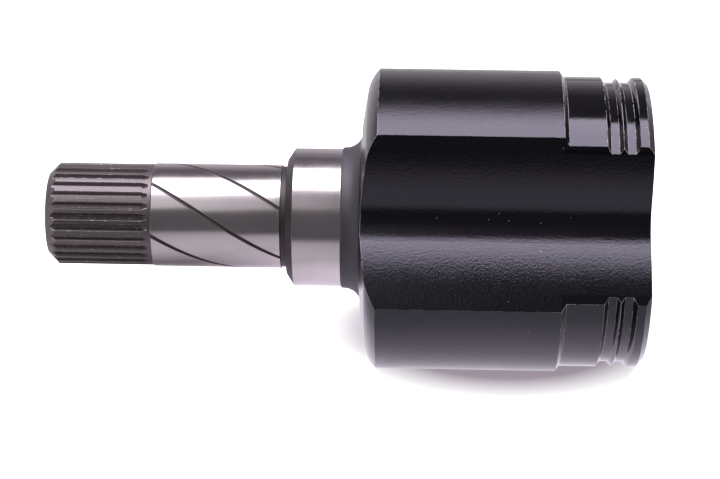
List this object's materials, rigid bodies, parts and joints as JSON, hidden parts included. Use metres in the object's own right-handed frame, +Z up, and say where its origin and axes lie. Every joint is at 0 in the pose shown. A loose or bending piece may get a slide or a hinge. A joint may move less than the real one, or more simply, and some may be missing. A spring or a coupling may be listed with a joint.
{
  "type": "tripod constant-velocity joint",
  "caption": "Plunging tripod CV joint: a three-lobed forged housing with a splined stub shaft, a tripod spider and needle-bearing roller cassettes inside.",
  "frame": {"origin": "the joint centre: the centre of the tripod spider on the shaft axis", "axes": "+X along the shaft axis and out of the housing's mouth, with the stub shaft towards -X; +Z up along the first trunnion, so the joint rests on two lobe edges"},
  "size_m": [0.1816, 0.0918, 0.0844],
  "materials": {
    "housing": "semi-gloss black paint over forging grain, with ground steel bearing and seal journals",
    "spider": "dark forged and hardened steel with ground trunnions",
    "roller_ring": "ground bearing steel",
    "needles": "polished bearing steel",
    "inner_ring": "ground bearing steel",
    "disc": "stamped steel",
    "snap_ring": "phosphated spring steel"
  },
  "bodies": {
    "housing": {"housing": "housing"},
    "carriage": {"inner_ring_2": "inner_ring", "inner_ring_3": "inner_ring"},
    "cassette_1": {"inner_ring_1": "inner_ring"},
    "spider": {"spider": "spider"},
    "roller_1": {"roller_ring_1": "roller_ring", "inner_disc_1": "disc", "outer_disc_1": "disc", "inner_snap_ring_1": "snap_ring", "outer_snap_ring_1": "snap_ring"},
    "needles_1": {"needles_1": "needles"},
    "roller_2": {"roller_ring_2": "roller_ring", "inner_disc_2": "disc", "outer_disc_2": "disc", "inner_snap_ring_2": "snap_ring", "outer_snap_ring_2": "snap_ring"},
    "needles_2": {"needles_2": "needles"},
    "roller_3": {"roller_ring_3": "roller_ring", "inner_disc_3": "disc", "outer_disc_3": "disc", "inner_snap_ring_3": "snap_ring", "outer_snap_ring_3": "snap_ring"},
    "needles_3": {"needles_3": "needles"}
  },
  "joints": [
    {"name": "plunge", "type": "slide", "parent": "housing", "child": "carriage", "axis": [1, 0, 0], "range_m": [-0.013, 0.013]},
    {"name": "articulate", "type": "hinge", "parent": "carriage", "child": "spider", "pos_m": [0, 0, -0.0145], "axis": [0, 1, 0], "range_deg": [-18, 18]},
    {"name": "cassette_1_travel", "type": "slide", "parent": "carriage", "child": "cassette_1", "axis": [1, 0, 0], "range_m": [-0.0137, 0.0137]},
    {"name": "roller_1_spin", "type": "hinge", "parent": "cassette_1", "child": "roller_1", "pos_m": [0, 0, 0.029], "axis": [0, 0, 1], "continuous": true},
    {"name": "needles_1_orbit", "type": "hinge", "parent": "cassette_1", "child": "needles_1", "pos_m": [0, 0, 0.029], "axis": [0, 0, 1], "continuous": true},
    {"name": "roller_2_spin", "type": "hinge", "parent": "carriage", "child": "roller_2", "pos_m": [0, -0.02511, -0.0145], "axis": [0, -0.866, -0.5], "continuous": true},
    {"name": "needles_2_orbit", "type": "hinge", "parent": "carriage", "child": "needles_2", "pos_m": [0, -0.02511, -0.0145], "axis": [0, -0.866, -0.5], "continuous": true},
    {"name": "roller_3_spin", "type": "hinge", "parent": "carriage", "child": "roller_3", "pos_m": [0, 0.02511, -0.0145], "axis": [0, 0.866, -0.5], "continuous": true},
    {"name": "needles_3_orbit", "type": "hinge", "parent": "carriage", "child": "needles_3", "pos_m": [0, 0.02511, -0.0145], "axis": [0, 0.866, -0.5], "continuous": true}
  ],
  "couplings": [
    {"joint": "cassette_1_travel", "follows": "articulate", "m_per_rad": 0.043065},
    {"joint": "needles_1_orbit", "follows": "roller_1_spin", "ratio": 0.5625},
    {"joint": "needles_2_orbit", "follows": "roller_2_spin", "ratio": 0.5625},
    {"joint": "needles_3_orbit", "follows": "roller_3_spin", "ratio": 0.5625}
  ]
}
